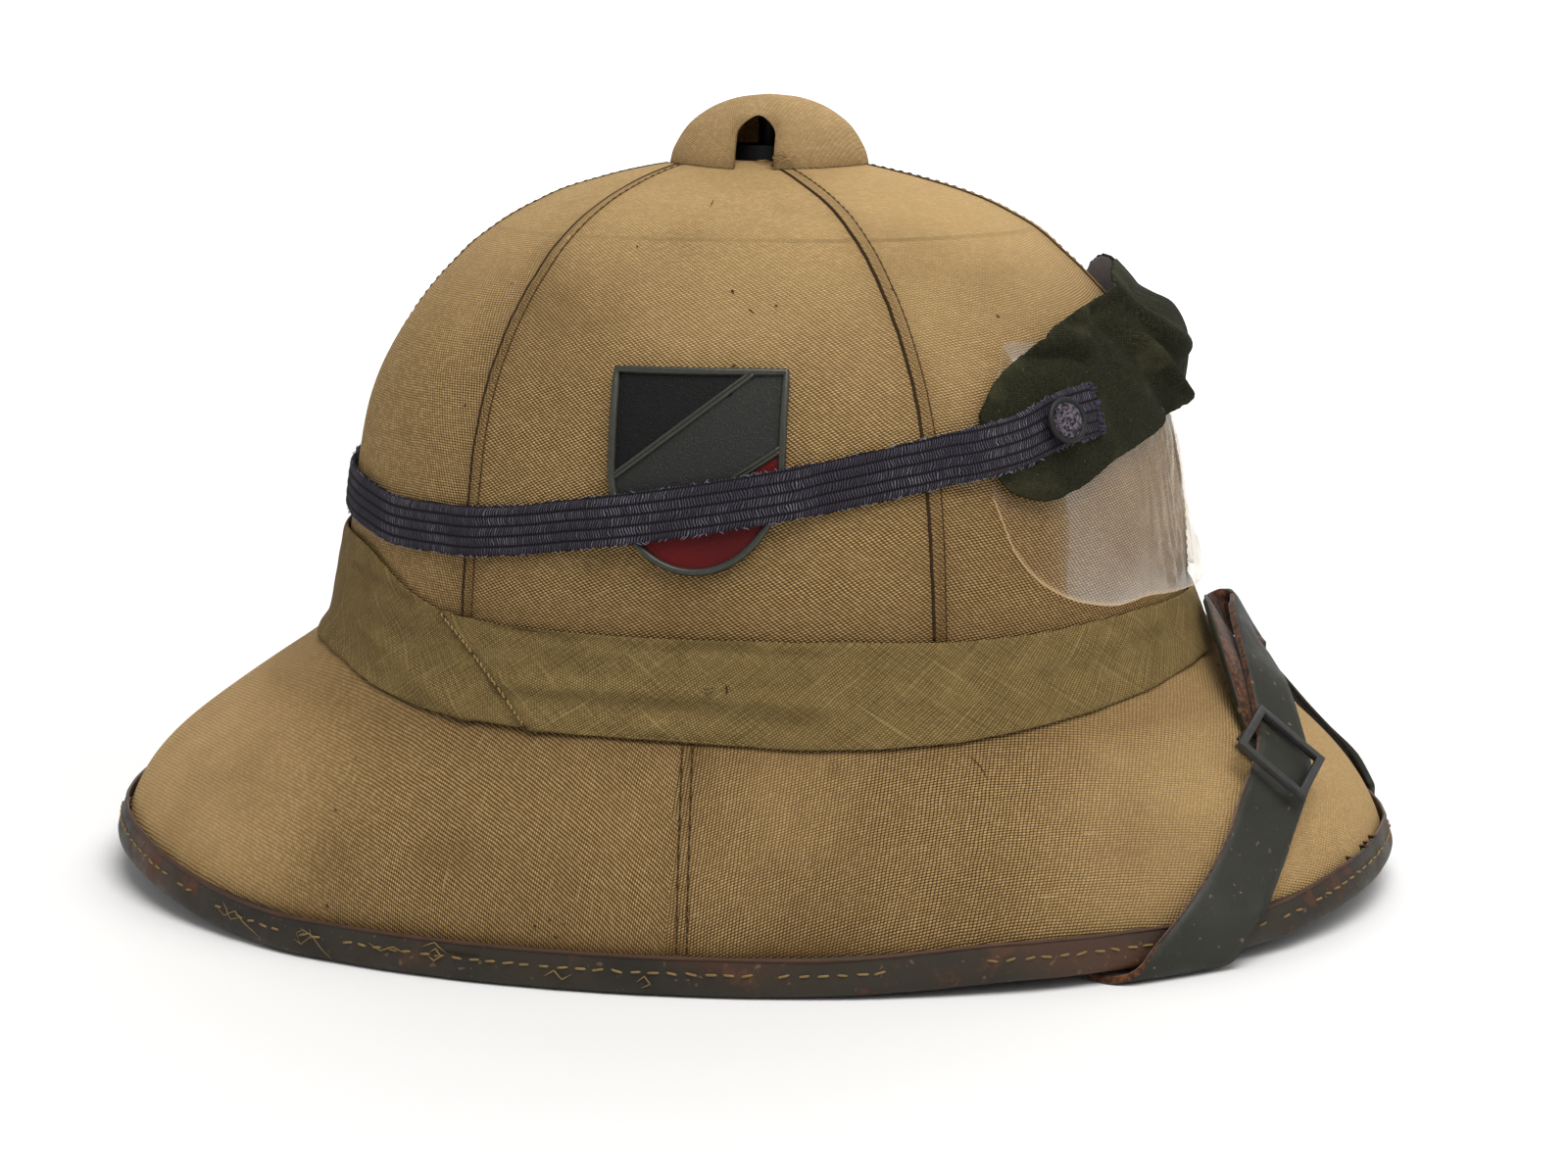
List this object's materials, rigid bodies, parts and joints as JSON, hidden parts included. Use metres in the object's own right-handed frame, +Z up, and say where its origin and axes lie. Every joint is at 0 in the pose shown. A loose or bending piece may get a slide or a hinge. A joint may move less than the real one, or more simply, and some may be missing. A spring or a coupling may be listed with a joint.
{
  "type": "pith helmet with dust goggles",
  "caption": "Cloth-covered pith helmet with a flared brim, folded cloth band, vent cap, side shield, chin strap worn up over the brim, and dust goggles on an elastic.",
  "frame": {"origin": "on the plane the rim rests on, below the middle of the rim's length and width", "axes": "+X to the helmet's front, +Y to the wearer's left, +Z up"},
  "size_m": [0.3372, 0.2658, 0.1995],
  "materials": {
    "shell_canvas": "khaki canvas twill, worn",
    "band_cloth": "coarse slubby cloth",
    "binding_leather": "dark worn leather",
    "strap_leather": "grey-green face, brown suede back",
    "badge_paint": "worn enamel paint",
    "black_metal": "black paint",
    "buckle_metal": "dull grey",
    "elastic_web": "ribbed elastic webbing",
    "goggle_cloth": "dark olive cloth",
    "clear_sheet": "clear crumpled film"
  },
  "bodies": {
    "root": {"crown": "shell_canvas", "brim": "shell_canvas", "rim_binding": "binding_leather", "pagri_band": "band_cloth", "vent_cap": "shell_canvas", "vent_tube": "black_metal", "badge": "badge_paint", "goggle_lens_right": "clear_sheet", "goggle_lens_left": "clear_sheet", "goggle_cloth": "goggle_cloth", "goggle_elastic": "elastic_web", "goggle_ring_right": "black_metal", "goggle_ring_left": "black_metal", "chin_strap": "strap_leather", "strap_tail": "strap_leather", "strap_buckle": "buckle_metal", "strap_rivet_right": "buckle_metal", "strap_rivet_left": "buckle_metal"}
  },
  "joints": []
}
